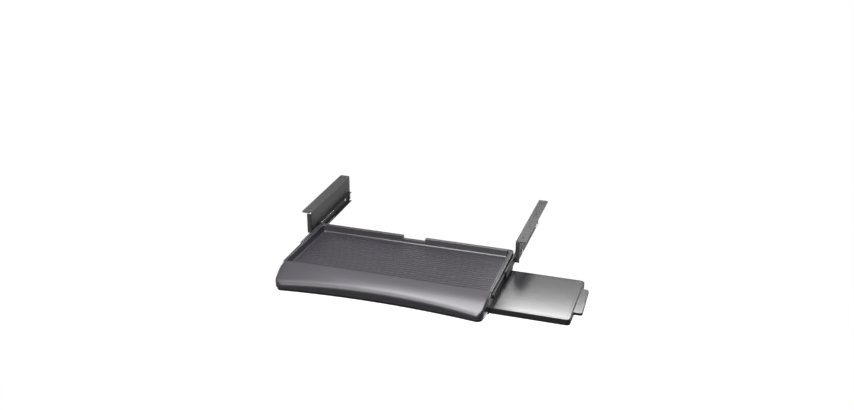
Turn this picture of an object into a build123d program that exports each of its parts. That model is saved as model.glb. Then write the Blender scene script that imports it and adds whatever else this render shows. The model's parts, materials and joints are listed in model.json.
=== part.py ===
"""Under-desk keyboard drawer with a sloped palm rest and a mouse platform that pulls out to the right.

Millimetres, +Z up. The origin is the centre of the desk screw holes, on the underside of the desk.
The user sits on the -Y side. The drawer and the platform are modelled pulled out.
"""
import os
from math import radians, tan

from build123d import *

os.makedirs("parts", exist_ok=True)

# Tray body
tray_width = 525.0
tray_length = 232.0
tray_corner_radius = 12.0
rim_below_desk = 44.0
recess_depth = 17.0
side_rim_front = 6.0
side_rim_rear = 11.0
recess_wall_slope = 10.0
recess_corner_radius = 9.0
recess_foot_radius = 3.0
rear_rim = 9.0
floor_thickness = 2.5
rib_pitch = 10.75
rib_width = 5.0
rib_height = 0.8
first_rib_from_recess = 5.7
rib_end_gap_front = 3.5
rib_end_gap_rear = 9.0
rim_groove_depth = 1.2
rim_bead = 2.2
cord_notch_width = 60.0
cord_notch_depth = 9.0
hold_down_rib = 2.0
hold_down_rib_count = 3

# Palm rest
palm_overhang = 0.5
palm_depth = 52.0
palm_height = 41.0
palm_hollow = 17.3
palm_side_taper = 5.0
palm_cheek_set_forward = 21.0
palm_wall = 3.0
palm_top_run_on = 2.7
palm_drop_half_way = 9.8
palm_drop_end = 31.0
nose_radius = 18.0
palm_corner_radius = 17.0
palm_boss_from_recess = 27.0
palm_boss_from_side = 22.5
shelf_from_recess = 44.0

# Mouse platform
platform_length = 201.0
platform_reach = 188.0
platform_captured = 62.0
platform_thickness = 15.0
platform_below_rim = 30.5
platform_front_from_recess = 19.0
platform_corner_radius = 10.0
platform_skin = 2.0
platform_rib = 1.8
platform_rib_columns = 5
platform_rib_rows = 4
platform_pocket_corner = 3.0
platform_gap = 0.4
stop_lug_reach = 5.0
stop_lug_width = 12.0
mousing_surface_thickness = 1.6
mousing_surface_front_margin = 0.8
mousing_surface_rear_margin = 2.5
mousing_surface_outer_margin = 2.7
mousing_surface_corner_radius = 8.0
border_line_inset = 4.5
border_line_width = 0.8
border_line_depth = 0.5
tab_length = 120.0
tab_reach = 17.0
tab_flare = 4.5
tab_thickness = 6.0
tab_front_from_edge = 38.0
tab_corner_radius = 7.0
tab_root_radius = 6.0
tab_pad_margin = 1.2
tab_pad_thickness = 1.5

# Bottom cover
cover_floor = 2.0
cover_wall = 2.5
cover_lip_gap = 0.5
cover_lip_height = 8.0
guide_wall = 2.0
cover_screw_from_recess = 36.0
cover_screw_from_rear = 20.0
cover_screw_from_side = 27.5
cover_screw_seat = 3.0
cover_cup_roof = 2.0

# Slides
slide_length = 225.0
slide_travel = 225.0
slide_thickness = 10.0
slide_below_desk = 58.0
slide_front_from_recess = 4.0
slide_half_height = 13.5
slide_steel = 1.2
cabinet_lip = 8.4
intermediate_from_web = 2.6
intermediate_lip_end = 8.6
drawer_lip_from_web = 5.0
outer_ball_radius = 1.8
outer_ball_from_web = 6.0
inner_ball_radius = 1.5
inner_ball_from_web = 6.6
race_clearance = 0.1
race_depth = 0.25
cage_steel = 0.6
cage_length = 90.0
outer_cage_from_web = 1.6
outer_cage_end = 7.8
inner_cage_from_web = 4.1
inner_cage_end = 8.1
ball_pitch = 19.0
balls_per_row = 5
intermediate_shortfall = 7.0
bumper_length = 6.0
bumper_gap = 0.5
bumper_height = 17.0
bumper_thickness = 3.2
bumper_peg_radius = 1.5

# Desk brackets
bracket_steel = 2.0
bracket_flange = 26.0
bracket_lip = 11.0
bracket_lip_depth = 58.0
bracket_web_depth = 70.5
bracket_front_overhang = 37.0
bracket_rear_margin = 8.0
bracket_nose_slope = 20.0
bracket_bend = 3.5
bracket_corner = 10.0
bracket_relief = 2.0
height_step = 12.7
height_settings = 3
desk_hole_radius = 2.6
desk_hole_from_end = 25.0
desk_hole_inner_spacing = 80.0

# Fasteners
slide_screw_radius = 2.0
slide_screw_head_radius = 3.2
slide_screw_from_end = 30.0
slide_screw_past_nut = 1.0
drawer_screw_from_end = 14.0
drawer_screw_count = 3
drawer_screw_head = 1.9
drawer_screw_depth = 6.5
nut_across_flats = 7.0
nut_thickness = 3.2
small_screw_radius = 1.75
small_screw_head_radius = 3.5
small_screw_head = 2.2
cover_screw_length = 12.0
palm_screw_length = 8.0
boss_radius = 4.5
screw_hole_clearance = 0.25
thread_clearance = 0.05

# Places that follow from the sizes above
half_tray = tray_width / 2
half_palm = half_tray + palm_overhang
rim_z = -rim_below_desk
floor_z = rim_z - recess_depth
floor_under_z = floor_z - floor_thickness
web_x = half_tray + slide_thickness
desk_hole_x = web_x + (bracket_steel + bracket_flange) / 2
bracket_length = bracket_front_overhang + slide_length + bracket_rear_margin
bracket_front_y = -bracket_length / 2
desk_hole_spacing = bracket_length - 2 * desk_hole_from_end
cabinet_front_y = bracket_front_y + bracket_front_overhang
drawer_front_y = cabinet_front_y - slide_travel
recess_front_y = drawer_front_y - slide_front_from_recess
tray_rear_y = recess_front_y + tray_length
cheek_y = recess_front_y - palm_cheek_set_forward
palm_top_run = palm_depth + palm_hollow + palm_top_run_on
palm_boss_outer_x = half_tray - palm_boss_from_side
palm_bottom_z = rim_z - palm_height
platform_top_z = rim_z - platform_below_rim
platform_seat_z = platform_top_z - mousing_surface_thickness
platform_under_z = platform_top_z - platform_thickness
platform_front_y = recess_front_y - platform_front_from_recess
platform_rear_y = platform_front_y + platform_length
platform_outer_x = half_tray + platform_reach
platform_inner_x = half_tray - platform_captured
tab_front_y = platform_front_y + tab_front_from_edge
tab_rear_y = tab_front_y + tab_length
tab_outer_x = platform_outer_x + tab_reach
wall_foot_z = platform_top_z + platform_gap
cover_floor_z = platform_under_z - platform_gap
cover_under_z = cover_floor_z - cover_floor
cover_seat_z = cover_under_z + cover_screw_seat
cover_cup_z = cover_seat_z + cover_cup_roof
slide_z = -slide_below_desk

# Ball rows: each ball lies race_depth deep in the grooves of the two members that it runs between
outer_ball_z = slide_half_height - slide_steel + race_depth - outer_ball_radius - race_clearance
intermediate_half = outer_ball_z - outer_ball_radius - race_clearance + race_depth
inner_ball_z = intermediate_half - slide_steel + race_depth - inner_ball_radius - race_clearance
drawer_member_half = inner_ball_z - inner_ball_radius - race_clearance + race_depth


def block(x, y, z):
    """A box between two limits on each axis."""
    centre = Pos((x[0] + x[1]) / 2, (y[0] + y[1]) / 2, (z[0] + z[1]) / 2)
    return centre * Box(abs(x[1] - x[0]), abs(y[1] - y[0]), abs(z[1] - z[0]))


def upright(radius, x, y, z):
    """A round bar along Z between two heights."""
    return Pos(x, y, (z[0] + z[1]) / 2) * Cylinder(radius, abs(z[1] - z[0]))


def across(radius, x, y, z):
    """A round bar along X between two limits."""
    return Pos((x[0] + x[1]) / 2, y, z) * Rot(0, 90, 0) * Cylinder(radius, abs(x[1] - x[0]))


def along(radius, x, y, z):
    """A round bar along Y between two limits."""
    return Pos(x, (y[0] + y[1]) / 2, z) * Rot(90, 0, 0) * Cylinder(radius, abs(y[1] - y[0]))


def rounded(points, radii):
    """A flat outline through the points, with each corner rounded by its own radius."""
    face = make_face(Polyline(*points, close=True))
    for point, radius in zip(points, radii):
        if radius > 0:
            face = fillet(face.vertices().sort_by_distance(point)[0], radius)
    return face


def raised(outline, z):
    """A plan outline made solid between two heights."""
    return Pos(0, 0, z[0]) * extrude(outline, z[1] - z[0], dir=(0, 0, 1))


def save(name, shape):
    """Writes one sub-part, which may be a group of separate solids."""
    solids = shape.solids()
    export_step(solids[0] if len(solids) == 1 else Compound(children=list(solids)), f"parts/{name}.step")


def save_pair(name, right):
    """Writes the right-hand sub-part and its mirror image on the left."""
    save(f"right_{name}", right)
    save(f"left_{name}", mirror(right, Plane.YZ))


# Palm rest: one moulding with a concave front, a sloping top and a rolled nose

def palm_outline(inset, corner_radius=0):
    """Plan outline of the palm rest, drawn inwards by the given inset, with its front corners rounded."""
    front_middle_y = recess_front_y - palm_depth
    corner = (half_palm - palm_side_taper, front_middle_y - palm_hollow)
    right = [(half_tray, recess_front_y), (half_tray, cheek_y), (half_palm, cheek_y), corner]
    left = [(-x, y) for x, y in reversed(right)]
    face = make_face(Polyline(*left, *right) + ThreePointArc(corner, (0, front_middle_y), left[0]))
    if inset:
        face = offset(face, -inset, kind=Kind.INTERSECTION)
    if corner_radius:
        face = fillet(face.vertices().sort_by(Axis.Y)[:2], corner_radius)
    return face


def above_ramp(lowering):
    """Everything above the sloping top, lowered by the given amount."""
    back = (recess_front_y, rim_z - lowering)
    middle = (recess_front_y - palm_top_run / 2, rim_z - palm_drop_half_way - lowering)
    front = (recess_front_y - palm_top_run, rim_z - palm_drop_end - lowering)
    behind_y = recess_front_y + palm_depth
    edges = ThreePointArc(back, middle, front)
    edges += Polyline(front, (front[0], 0), (behind_y, 0), (behind_y, back[1]), back)
    return Pos(-tray_width, 0, 0) * extrude(Plane.YZ * make_face(edges), 2 * tray_width, dir=(1, 0, 0))


def palm_form(inset, bottom_z):
    """The palm rest's outer form, or its hollow when an inset is given."""
    form = raised(palm_outline(inset), (bottom_z, rim_z - inset)) - above_ramp(inset)
    front_face = form.faces().filter_by(GeomType.CYLINDER).sort_by(Axis.Y)[0]
    form = fillet(front_face.edges().sort_by(Axis.Z)[-1], nose_radius - inset)
    corners = palm_outline(inset) - palm_outline(inset, palm_corner_radius - inset)
    return form - raised(corners, (bottom_z - 1, rim_z))


def palm_screw_places():
    """Where the palm rest's four bosses stand, as (x, y)."""
    y = recess_front_y - palm_boss_from_recess
    return [(side * x, y) for side in (-1, 1) for x in (palm_boss_outer_x, palm_boss_outer_x / 3)]


def palm_rest():
    """The palm rest with its hollow underside and its screw bosses."""
    form = palm_form(0, palm_bottom_z)
    rest = form - palm_form(palm_wall, palm_bottom_z - 1)
    for x, y in palm_screw_places():
        rest += upright(boss_radius, x, y, (floor_z, rim_z)) & form
        rest -= upright(small_screw_radius + thread_clearance, x, y,
                        (floor_z - 1, floor_under_z + palm_screw_length + 1))
    rest -= block((-half_palm, half_palm), (cheek_y, recess_front_y + 1), (palm_bottom_z - 1, floor_z))
    return rest


# Tray body: the recess with its cross-ribbed floor, the grooved rims and the shelf under the palm rest

def recess_half(y):
    """Half the recess's width at rim level, at the given place along its length."""
    share = (y - recess_front_y) / (tray_rear_y - rear_rim - recess_front_y)
    return half_tray - side_rim_front - (side_rim_rear - side_rim_front) * share


def recess_outline(grow):
    """Plan outline of the recess at rim level, grown outwards and left long at its open front."""
    front_y = recess_front_y - 2 * recess_depth
    rear_y = tray_rear_y - rear_rim + grow
    front_half, rear_half = recess_half(front_y) + grow, recess_half(rear_y) + grow
    radius = recess_corner_radius + grow
    return rounded([(-front_half, front_y), (front_half, front_y), (rear_half, rear_y), (-rear_half, rear_y)],
                   [0, 0, radius, radius])


def body_outline(inset, front_y):
    """Plan outline of the tray behind the palm rest, with rounded rear corners."""
    half, rear_y, radius = half_tray - inset, tray_rear_y - inset, tray_corner_radius - inset
    return rounded([(-half, front_y), (half, front_y), (half, rear_y), (-half, rear_y)], [0, 0, radius, radius])


def cover_screw_places():
    """Where the bottom cover's screws stand, as (x, y), clear of the mouse platform's room."""
    rear_y = tray_rear_y - cover_screw_from_rear
    front_y = recess_front_y - cover_screw_from_recess
    side_x = half_tray - cover_screw_from_side
    front_x = palm_boss_outer_x * 2 / 3
    places = [(x, rear_y) for x in (-side_x, -side_x / 2, 0, side_x / 2, side_x)]
    places += [(x, (front_y + rear_y) / 2) for x in (-side_x, -side_x / 2)]
    return places + [(x, front_y) for x in (-front_x, 0, front_x)]


def drawer_screw_places():
    """Where the drawer members' screws stand along the tray's sides."""
    step = (slide_length - 2 * drawer_screw_from_end) / (drawer_screw_count - 1)
    return [drawer_front_y + drawer_screw_from_end + i * step for i in range(drawer_screw_count)]


def tray_ribs():
    """The low cross ribs on the recess's floor."""
    first_y = recess_front_y + first_rib_from_recess
    count = int((tray_rear_y - rear_rim - rib_width - first_y) / rib_pitch) + 1
    foot = recess_depth * tan(radians(recess_wall_slope))
    gap_step = (rib_end_gap_rear - rib_end_gap_front) / (count - 1)
    ribs = []
    for i in range(count):
        y = first_y + i * rib_pitch
        half = recess_half(y + rib_width) - foot - rib_end_gap_front - i * gap_step
        ribs.append(block((-half, half), (y, y + rib_width), (floor_under_z, floor_z + rib_height)))
    return ribs


def tray_body():
    """The tray moulding."""
    body = raised(body_outline(0, recess_front_y), (wall_foot_z, rim_z))
    body += block((-half_tray, half_tray), (cheek_y, recess_front_y + 1), (wall_foot_z, floor_z))
    body -= raised(body_outline(cover_wall, cheek_y - 1), (wall_foot_z - 1, floor_under_z))
    shelf = raised(palm_outline(palm_wall + cover_lip_gap), (floor_under_z, floor_z))
    body += shelf & block((-half_palm, half_palm), (recess_front_y - shelf_from_recess, cheek_y + 1),
                          (floor_under_z, floor_z))
    recess = Pos(0, 0, rim_z) * extrude(recess_outline(0), -recess_depth, taper=recess_wall_slope)
    recess = fillet(recess.faces().sort_by(Axis.Z)[0].edges(), recess_foot_radius)
    body -= recess & block((-half_tray, half_tray), (recess_front_y, tray_rear_y), (floor_z, rim_z))
    body += tray_ribs()

    groove = body_outline(rim_bead, recess_front_y + rim_bead) - recess_outline(rim_bead)
    body -= raised(groove, (rim_z - rim_groove_depth, rim_z + 1))
    notch = block((-cord_notch_width / 2, cord_notch_width / 2), (tray_rear_y - 2 * rear_rim, tray_rear_y + 1),
                  (rim_z - cord_notch_depth, rim_z + cord_notch_depth))
    body -= fillet(notch.edges().filter_by(Axis.Y).sort_by(Axis.Z)[:2], cord_notch_depth / 3)

    for i in range(hold_down_rib_count):
        y = platform_front_y + platform_length * (i + 0.5) / hold_down_rib_count
        body += block((platform_inner_x - platform_reach, half_tray - cover_wall),
                      (y - hold_down_rib / 2, y + hold_down_rib / 2), (wall_foot_z, floor_under_z))
    for x, y in cover_screw_places():
        body += upright(boss_radius, x, y, (cover_cup_z, floor_under_z))
        body -= upright(small_screw_radius + thread_clearance, x, y,
                        (cover_cup_z - 1, cover_seat_z + cover_screw_length + 1))
    for x, y in palm_screw_places():
        body -= upright(small_screw_radius + screw_hole_clearance, x, y, (floor_under_z - 1, floor_z + 1))
    tip = half_tray - drawer_screw_depth - screw_hole_clearance
    for y in drawer_screw_places():
        for side in (-1, 1):
            body -= across(slide_screw_radius + thread_clearance, (side * tip, side * (half_tray + 1)), y, slide_z)
    return body


# Bottom cover: the shallow pan with the slot and the guides for the mouse platform

def platform_guides():
    """The pan's upright walls that guide the platform and stop its lugs at both ends of its travel."""
    tall = (cover_floor_z - cover_floor / 2, wall_foot_z)
    stop_x = platform_inner_x + stop_lug_width + platform_gap
    end_x = platform_inner_x - platform_reach - platform_gap
    walls = [block((end_x - guide_wall, end_x),
                   (platform_front_y - stop_lug_reach, platform_rear_y + stop_lug_reach), tall)]
    for edge_y, outwards in ((platform_front_y, -1), (platform_rear_y, 1)):
        near_y = edge_y + outwards * platform_gap
        lug_y = near_y + outwards * stop_lug_reach
        far_y = lug_y + outwards * guide_wall
        walls.append(block((end_x - guide_wall, stop_x + guide_wall), (lug_y, far_y), tall))
        walls.append(block((stop_x, stop_x + guide_wall), (near_y, far_y), tall))
        walls.append(block((stop_x, half_tray - 2 * cover_wall), (near_y, near_y + outwards * guide_wall), tall))
    return walls


def bottom_cover():
    """The bottom cover moulding."""
    inset = palm_wall + cover_lip_gap
    front = palm_outline(inset, palm_corner_radius - inset)
    front_hollow = palm_outline(inset + cover_wall, palm_corner_radius - inset - cover_wall)
    throat = Pos(0, cheek_y) * Rectangle(tray_width - 4 * inset, 4 * inset)
    cover = raised(body_outline(0, cheek_y) + front, (cover_under_z, wall_foot_z))
    cover -= raised(body_outline(cover_wall, cheek_y) + front_hollow + throat, (cover_floor_z, wall_foot_z + 1))
    lip_z = (cover_floor_z, cover_floor_z + cover_lip_height)
    cover -= block((-half_palm, half_palm), (cheek_y - inset, cheek_y - 2 * palm_depth),
                   (lip_z[1], wall_foot_z + 1))
    cover += platform_guides()
    cover -= block((half_tray - 2 * cover_wall, half_tray + 1),
                   (platform_front_y - platform_gap, platform_rear_y + platform_gap),
                   (cover_floor_z, wall_foot_z + 1))
    for x, y in cover_screw_places():
        cover += upright(boss_radius + cover_cup_roof, x, y, (cover_under_z, cover_cup_z))
        cover -= upright(small_screw_head_radius + screw_hole_clearance, x, y, (cover_under_z - 1, cover_seat_z))
        cover -= upright(small_screw_radius + screw_hole_clearance, x, y, (cover_under_z, cover_cup_z + 1))
    return cover


# Mouse platform: a ribbed black base, the grey mousing surface and the grey pad on its finger tab

def plate_outline():
    """Plan outline of the platform without its tab."""
    x0, x1 = platform_inner_x, platform_outer_x
    y0, y1 = platform_front_y, platform_rear_y
    radius = platform_corner_radius
    return rounded([(x0, y0), (x1, y0), (x1, y1), (x0, y1)], [0, radius, radius, 0])


def base_outline():
    """Plan outline of the platform with its tab, whose roots are rounded."""
    x0, x1, x2 = platform_inner_x, platform_outer_x, tab_outer_x
    y0, y1 = platform_front_y, platform_rear_y
    points = [(x0, y0), (x1, y0), (x1, tab_front_y), (x2 + tab_flare, tab_front_y),
              (x2, tab_rear_y), (x1, tab_rear_y), (x1, y1), (x0, y1)]
    return rounded(points, [0, platform_corner_radius, tab_root_radius, tab_corner_radius,
                            tab_corner_radius, tab_root_radius, platform_corner_radius, 0])


def underside_pockets():
    """The pockets between the ribs under the platform."""
    pocket_z = (platform_under_z - 1, platform_seat_z - platform_skin)
    start_x = platform_inner_x + stop_lug_width
    step_x = (platform_outer_x - platform_rib - start_x) / platform_rib_columns
    step_y = (platform_length - platform_rib) / platform_rib_rows
    pockets = []
    for i in range(platform_rib_columns):
        for j in range(platform_rib_rows):
            x = start_x + i * step_x
            y = platform_front_y + platform_rib + j * step_y
            pocket = block((x, x + step_x - platform_rib), (y, y + step_y - platform_rib), pocket_z)
            pockets.append(fillet(pocket.edges().filter_by(Axis.Z), platform_pocket_corner))
    return pockets


def mouse_platform_base():
    """The platform's moulding: plate, underside ribs, finger tab and stop lugs."""
    base = raised(plate_outline(), (platform_under_z, platform_seat_z))
    base += raised(base_outline(), (platform_seat_z - tab_thickness + tab_pad_thickness, platform_seat_z))
    base += block((platform_inner_x, platform_inner_x + stop_lug_width),
                  (platform_front_y - stop_lug_reach, platform_rear_y + stop_lug_reach),
                  (platform_under_z, platform_seat_z))
    return base - underside_pockets()


def mousing_surface():
    """The grey top plate, with the fine border line moulded in it."""
    def sheet_outline(inner_x, inset):
        x1 = platform_outer_x - mousing_surface_outer_margin - inset
        y0 = platform_front_y + mousing_surface_front_margin + inset
        y1 = platform_rear_y - mousing_surface_rear_margin - inset
        radius = mousing_surface_corner_radius - inset
        return rounded([(inner_x, y0), (x1, y0), (x1, y1), (inner_x, y1)], [0, radius, radius, 0])
    line = sheet_outline(half_tray + border_line_inset, border_line_inset)
    line -= offset(line, -border_line_width, kind=Kind.INTERSECTION)
    sheet = raised(sheet_outline(platform_inner_x, 0), (platform_seat_z, platform_top_z))
    return sheet - raised(line, (platform_top_z - border_line_depth, platform_top_z + 1))


def tab_pad():
    """The grey pad on the finger tab."""
    x0, x1 = platform_outer_x, tab_outer_x - tab_pad_margin
    y0, y1 = tab_front_y + tab_pad_margin, tab_rear_y - tab_pad_margin
    radius = tab_corner_radius - tab_pad_margin
    return raised(rounded([(x0, y0), (x1 + tab_flare, y0), (x1, y1), (x0, y1)], [0, radius, radius, 0]),
                  (platform_seat_z, platform_seat_z + tab_pad_thickness))


# Slides: nested steel channels with balls between them, drawn for the right-hand side.
# Distances across a slide count from the bracket's web towards the tray.

def channel(web_from, lip_end, half_height, y):
    """A steel channel along Y whose web lies at web_from and whose lips end at lip_end."""
    inwards = 1 if lip_end > web_from else -1
    reach = (web_x - web_from, web_x - lip_end)
    hollow = (web_x - web_from - inwards * slide_steel, web_x - lip_end - inwards)
    inner_half = half_height - slide_steel
    steel = block(reach, y, (slide_z - half_height, slide_z + half_height))
    return steel - block(hollow, (y[0] - 1, y[1] + 1), (slide_z - inner_half, slide_z + inner_half))


def ball_races(radius, from_web, height, y):
    """The two grooves in which a pair of ball rows runs."""
    return [along(radius + race_clearance, web_x - from_web, (y[0] - 1, y[1] + 1), slide_z + side * height)
            for side in (-1, 1)]


def cabinet_screw_places():
    """Where the cabinet members' screws stand along the brackets."""
    return [cabinet_front_y + slide_screw_from_end, cabinet_front_y + slide_length - slide_screw_from_end]


def cabinet_member():
    """The outer channel, which the bracket carries."""
    y = (cabinet_front_y, cabinet_front_y + slide_length)
    member = channel(0, cabinet_lip, slide_half_height, y)
    member -= ball_races(outer_ball_radius, outer_ball_from_web, outer_ball_z, y)
    for screw_y in cabinet_screw_places():
        member -= screw_cone(screw_y, thread_clearance)
    member -= across(bumper_peg_radius, (web_x - slide_steel - 1, web_x + 1), y[1] - bumper_length / 2, slide_z)
    return member


def screw_cone(y, clearance):
    """The countersunk head that lies flush in the cabinet member's web."""
    narrow, wide = slide_screw_radius + clearance, slide_screw_head_radius + clearance
    return Pos(web_x - slide_steel / 2, y, slide_z) * Rot(0, -90, 0) * Cone(narrow, wide, slide_steel)


def intermediate_member():
    """The middle channel, which runs half as far as the drawer."""
    front_y = cabinet_front_y + bumper_gap - slide_travel / 2
    y = (front_y, front_y + slide_length - intermediate_shortfall)
    member = channel(intermediate_from_web, intermediate_lip_end, intermediate_half, y)
    member -= ball_races(outer_ball_radius, outer_ball_from_web, outer_ball_z, y)
    return member - ball_races(inner_ball_radius, inner_ball_from_web, inner_ball_z, y)


def drawer_member():
    """The inner channel, which is screwed to the tray's side."""
    y = (drawer_front_y, drawer_front_y + slide_length)
    member = channel(slide_thickness, drawer_lip_from_web, drawer_member_half, y)
    member -= ball_races(inner_ball_radius, inner_ball_from_web, inner_ball_z, y)
    for screw_y in drawer_screw_places():
        member -= across(slide_screw_radius + screw_hole_clearance, (half_tray - 1, half_tray + 2 * slide_steel),
                         screw_y, slide_z)
    return member


def ball_places(middle_y):
    """Where the balls of one cage stand along the slide."""
    return [middle_y + (i - (balls_per_row - 1) / 2) * ball_pitch for i in range(balls_per_row)]


def cage(middle_y, from_web, end, ball_radius, ball_from_web, ball_z):
    """A thin channel with a hole for each ball."""
    half = ball_z + cage_steel / 2
    y = (middle_y - cage_length / 2, middle_y + cage_length / 2)
    sheet = block((web_x - end, web_x - from_web), y, (slide_z - half, slide_z + half))
    sheet -= block((web_x - end - 1, web_x - from_web - cage_steel), (y[0] - 1, y[1] + 1),
                   (slide_z - half + cage_steel, slide_z + half - cage_steel))
    for ball_y in ball_places(middle_y):
        sheet -= upright(ball_radius + race_clearance, web_x - ball_from_web, ball_y,
                         (slide_z - half - 1, slide_z + half + 1))
    return sheet


def balls(middle_y, ball_radius, ball_from_web, ball_z):
    """The two rows of balls of one cage."""
    return Compound(children=[Pos(web_x - ball_from_web, y, slide_z + side * ball_z) * Sphere(ball_radius)
                              for side in (-1, 1) for y in ball_places(middle_y)])


def rear_bumper():
    """The rubber stop at the rear end of the cabinet member, with its peg."""
    y = (cabinet_front_y + slide_length - bumper_length, cabinet_front_y + slide_length)
    inner_x = web_x - slide_steel
    pad = block((inner_x - bumper_thickness, inner_x), y,
                (slide_z - bumper_height / 2, slide_z + bumper_height / 2))
    pad = fillet(pad.edges().filter_by(Axis.X), bumper_length / 4)
    return pad + across(bumper_peg_radius - thread_clearance, (inner_x, web_x), sum(y) / 2, slide_z)


# Desk brackets: bent steel, each with a flange for the desk screws and three rows of height holes

def bracket():
    """The right-hand bracket."""
    t = bracket_steel
    rear_y = -bracket_front_y
    bend_radii = [0, bracket_bend, 0, 0, bracket_bend - t, 0]
    section = rounded([(web_x, -bracket_web_depth), (web_x, 0), (web_x + bracket_flange, 0),
                       (web_x + bracket_flange, -t), (web_x + t, -t), (web_x + t, -bracket_web_depth)], bend_radii)
    start_y = bracket_front_y + 2 * bracket_bend
    plate = Pos(0, rear_y, 0) * extrude(Plane.XZ * section, rear_y - start_y, dir=(0, -1, 0))
    side_view = rounded([(start_y, 0), (start_y, -bracket_lip_depth),
                         (start_y + bracket_nose_slope, -bracket_web_depth), (rear_y, -bracket_web_depth),
                         (rear_y, 0)], [0, 0, bracket_corner, bracket_corner, 0])
    plate &= Pos(web_x, 0, 0) * extrude(Plane.YZ * side_view, bracket_flange, dir=(1, 0, 0))
    plate += block((web_x + bracket_bend, web_x + bracket_flange), (bracket_front_y, start_y), (-t, 0))
    lip_section = rounded([(web_x, start_y), (web_x, bracket_front_y), (web_x + bracket_lip, bracket_front_y),
                           (web_x + bracket_lip, bracket_front_y + t), (web_x + t, bracket_front_y + t),
                           (web_x + t, start_y)], bend_radii)
    plate += raised(lip_section, (-bracket_lip_depth, -t - bracket_relief))
    flange_corners = [edge for edge in plate.edges().filter_by(Axis.Z)
                      if edge.length < 1.01 * t and edge.center().X > web_x + bracket_flange - 1]
    plate = fillet(flange_corners, bracket_corner / 2)
    for spacing in (desk_hole_spacing, desk_hole_inner_spacing):
        for side in (-1, 1):
            plate -= upright(desk_hole_radius, desk_hole_x, side * spacing / 2, (-t - 1, 1))
    for y in cabinet_screw_places():
        for i in range(height_settings):
            plate -= across(slide_screw_radius + screw_hole_clearance, (web_x - 1, web_x + t + 1),
                            y, slide_z + i * height_step)
    return plate


# Fasteners

def slide_screws():
    """The flush machine screws that hold the cabinet member to the bracket."""
    end_x = web_x + bracket_steel + nut_thickness + slide_screw_past_nut
    return Compound(children=[screw_cone(y, 0) + across(slide_screw_radius, (web_x, end_x), y, slide_z)
                              for y in cabinet_screw_places()])


def slide_nuts():
    """The hexagon nuts on the bracket's outer face."""
    nut = extrude(RegularPolygon(nut_across_flats / 2, 6, major_radius=False), nut_thickness)
    nut -= upright(slide_screw_radius + thread_clearance, 0, 0, (-1, nut_thickness + 1))
    return Compound(children=[Pos(web_x + bracket_steel, y, slide_z) * Rot(0, 90, 0) * nut
                              for y in cabinet_screw_places()])


def drawer_screws():
    """The pan-head screws that hold the drawer member to the tray's side."""
    seat_x = half_tray + slide_steel
    return Compound(children=[across(slide_screw_head_radius, (seat_x, seat_x + drawer_screw_head), y, slide_z)
                              + across(slide_screw_radius, (half_tray - drawer_screw_depth, seat_x), y, slide_z)
                              for y in drawer_screw_places()])


def small_screws(places, seat_z, length):
    """Pan-head screws driven up from below, whose heads bear on seat_z."""
    return Compound(children=[upright(small_screw_head_radius, x, y, (seat_z - small_screw_head, seat_z))
                              + upright(small_screw_radius, x, y, (seat_z, seat_z + length))
                              for x, y in places])


# The assembly

outer_cage_y = cabinet_front_y + slide_travel / 4
inner_cage_y = cabinet_front_y - slide_travel / 4
outer_row = (outer_ball_radius, outer_ball_from_web, outer_ball_z)
inner_row = (inner_ball_radius, inner_ball_from_web, inner_ball_z)

save("palm_rest", palm_rest())
save("tray_body", tray_body())
save("bottom_cover", bottom_cover())
save("mouse_platform_base", mouse_platform_base())
save("mousing_surface", mousing_surface())
save("platform_tab_pad", tab_pad())
save_pair("bracket", bracket())
save_pair("cabinet_member", cabinet_member())
save_pair("intermediate_member", intermediate_member())
save_pair("drawer_member", drawer_member())
save_pair("outer_cage", cage(outer_cage_y, outer_cage_from_web, outer_cage_end, *outer_row))
save_pair("inner_cage", cage(inner_cage_y, inner_cage_from_web, inner_cage_end, *inner_row))
save_pair("outer_balls", balls(outer_cage_y, *outer_row))
save_pair("inner_balls", balls(inner_cage_y, *inner_row))
save_pair("rear_bumper", rear_bumper())
save_pair("slide_screws", slide_screws())
save_pair("slide_nuts", slide_nuts())
save_pair("drawer_screws", drawer_screws())
save("cover_screws", small_screws(cover_screw_places(), cover_seat_z, cover_screw_length))
save("palm_rest_screws", small_screws(palm_screw_places(), floor_under_z, palm_screw_length))
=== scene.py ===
"""The under-desk keyboard drawer, dressed with its materials and finished pieces."""
import json
import math
import bpy
import bmesh
from mathutils import Matrix, Vector

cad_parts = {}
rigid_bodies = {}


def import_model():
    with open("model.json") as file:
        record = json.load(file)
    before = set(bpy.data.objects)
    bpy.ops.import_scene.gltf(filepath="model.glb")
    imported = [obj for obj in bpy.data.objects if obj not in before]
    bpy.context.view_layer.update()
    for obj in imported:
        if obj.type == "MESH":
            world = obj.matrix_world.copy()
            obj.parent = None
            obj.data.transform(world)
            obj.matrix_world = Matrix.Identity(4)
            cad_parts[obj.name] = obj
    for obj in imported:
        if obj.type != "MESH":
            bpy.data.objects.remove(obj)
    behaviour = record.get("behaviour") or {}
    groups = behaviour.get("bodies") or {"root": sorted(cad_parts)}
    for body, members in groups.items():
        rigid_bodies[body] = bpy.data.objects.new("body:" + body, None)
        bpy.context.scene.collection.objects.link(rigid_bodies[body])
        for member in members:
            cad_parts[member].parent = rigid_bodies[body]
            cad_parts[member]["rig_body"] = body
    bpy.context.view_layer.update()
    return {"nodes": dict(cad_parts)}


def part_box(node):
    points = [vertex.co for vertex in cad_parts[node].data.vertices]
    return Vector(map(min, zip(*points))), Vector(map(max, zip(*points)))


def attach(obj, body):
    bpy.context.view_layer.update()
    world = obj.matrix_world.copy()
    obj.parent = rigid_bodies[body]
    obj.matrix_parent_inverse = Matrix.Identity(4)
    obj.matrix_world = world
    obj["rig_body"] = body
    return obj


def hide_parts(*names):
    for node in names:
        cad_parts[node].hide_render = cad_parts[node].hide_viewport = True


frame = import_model()
nodes = frame["nodes"]


# Camera: a normal lens in front of the drawer, to its right and above it. It is turned to the left and
# tipped down to the tray, and rolled a trace about its own axis.

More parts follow.
